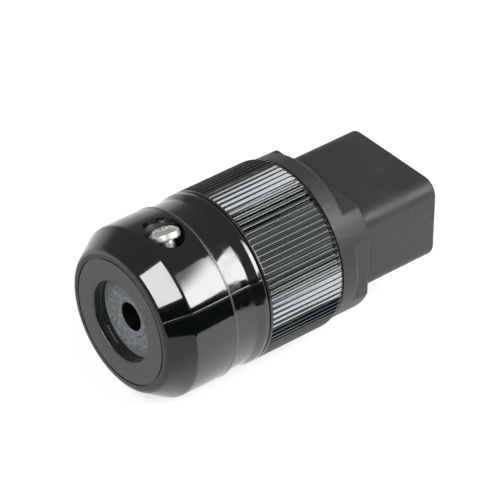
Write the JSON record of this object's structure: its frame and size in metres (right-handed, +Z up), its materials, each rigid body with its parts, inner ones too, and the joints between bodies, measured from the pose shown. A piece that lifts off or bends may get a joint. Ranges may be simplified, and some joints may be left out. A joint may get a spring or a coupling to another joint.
{
  "type": "rewirable c19 power connector",
  "caption": "Rewirable female appliance connector with a squared nose, ribbed coupling ring and round rear housing with cord clamp.",
  "frame": {"origin": "centre of the mating face, at the front of the nose", "axes": "+X leaves the nose towards the appliance inlet, along the barrel's axis; +Z is up, on the side of the earth contact; it lies on its barrel as it would on a bench"},
  "size_m": [0.0734, 0.0382, 0.0399],
  "materials": {
    "carrier_plastic": "satin moulded thermoplastic, near black, finely textured",
    "insulator_plastic": "plain moulded insulator, black",
    "ring_plastic": "semi-gloss black moulding with lengthwise ribs",
    "housing_plastic": "polished black moulding, with a matte textured rear face",
    "seal_rubber": "dull dark grey rubber",
    "jaw_plastic": "plain black moulding",
    "contact_brass": "formed copper alloy, lightly plated",
    "plate_brass": "nickel-tinted brass pressing",
    "screw_steel": "zinc-plated steel",
    "spring_steel": "spring steel",
    "nickel_steel": "bright nickel-plated steel"
  },
  "bodies": {
    "root": {"contact_carrier": "carrier_plastic", "contact_retainer": "insulator_plastic", "retainer_screws": "screw_steel", "retaining_ring": "spring_steel", "coupling_ring": "ring_plastic", "rear_housing": "housing_plastic", "cord_seal": "seal_rubber", "line_contact": "contact_brass", "neutral_contact": "contact_brass", "earth_contact": "contact_brass", "line_clamp_plate": "plate_brass", "neutral_clamp_plate": "plate_brass", "earth_clamp_plate": "plate_brass", "line_screw": "screw_steel", "neutral_screw": "screw_steel", "earth_screw": "screw_steel", "upper_cord_jaw": "jaw_plastic", "lower_cord_jaw": "jaw_plastic", "upper_cord_insert": "contact_brass", "lower_cord_insert": "contact_brass", "upper_cord_screw": "nickel_steel", "lower_cord_screw": "nickel_steel"}
  },
  "joints": []
}
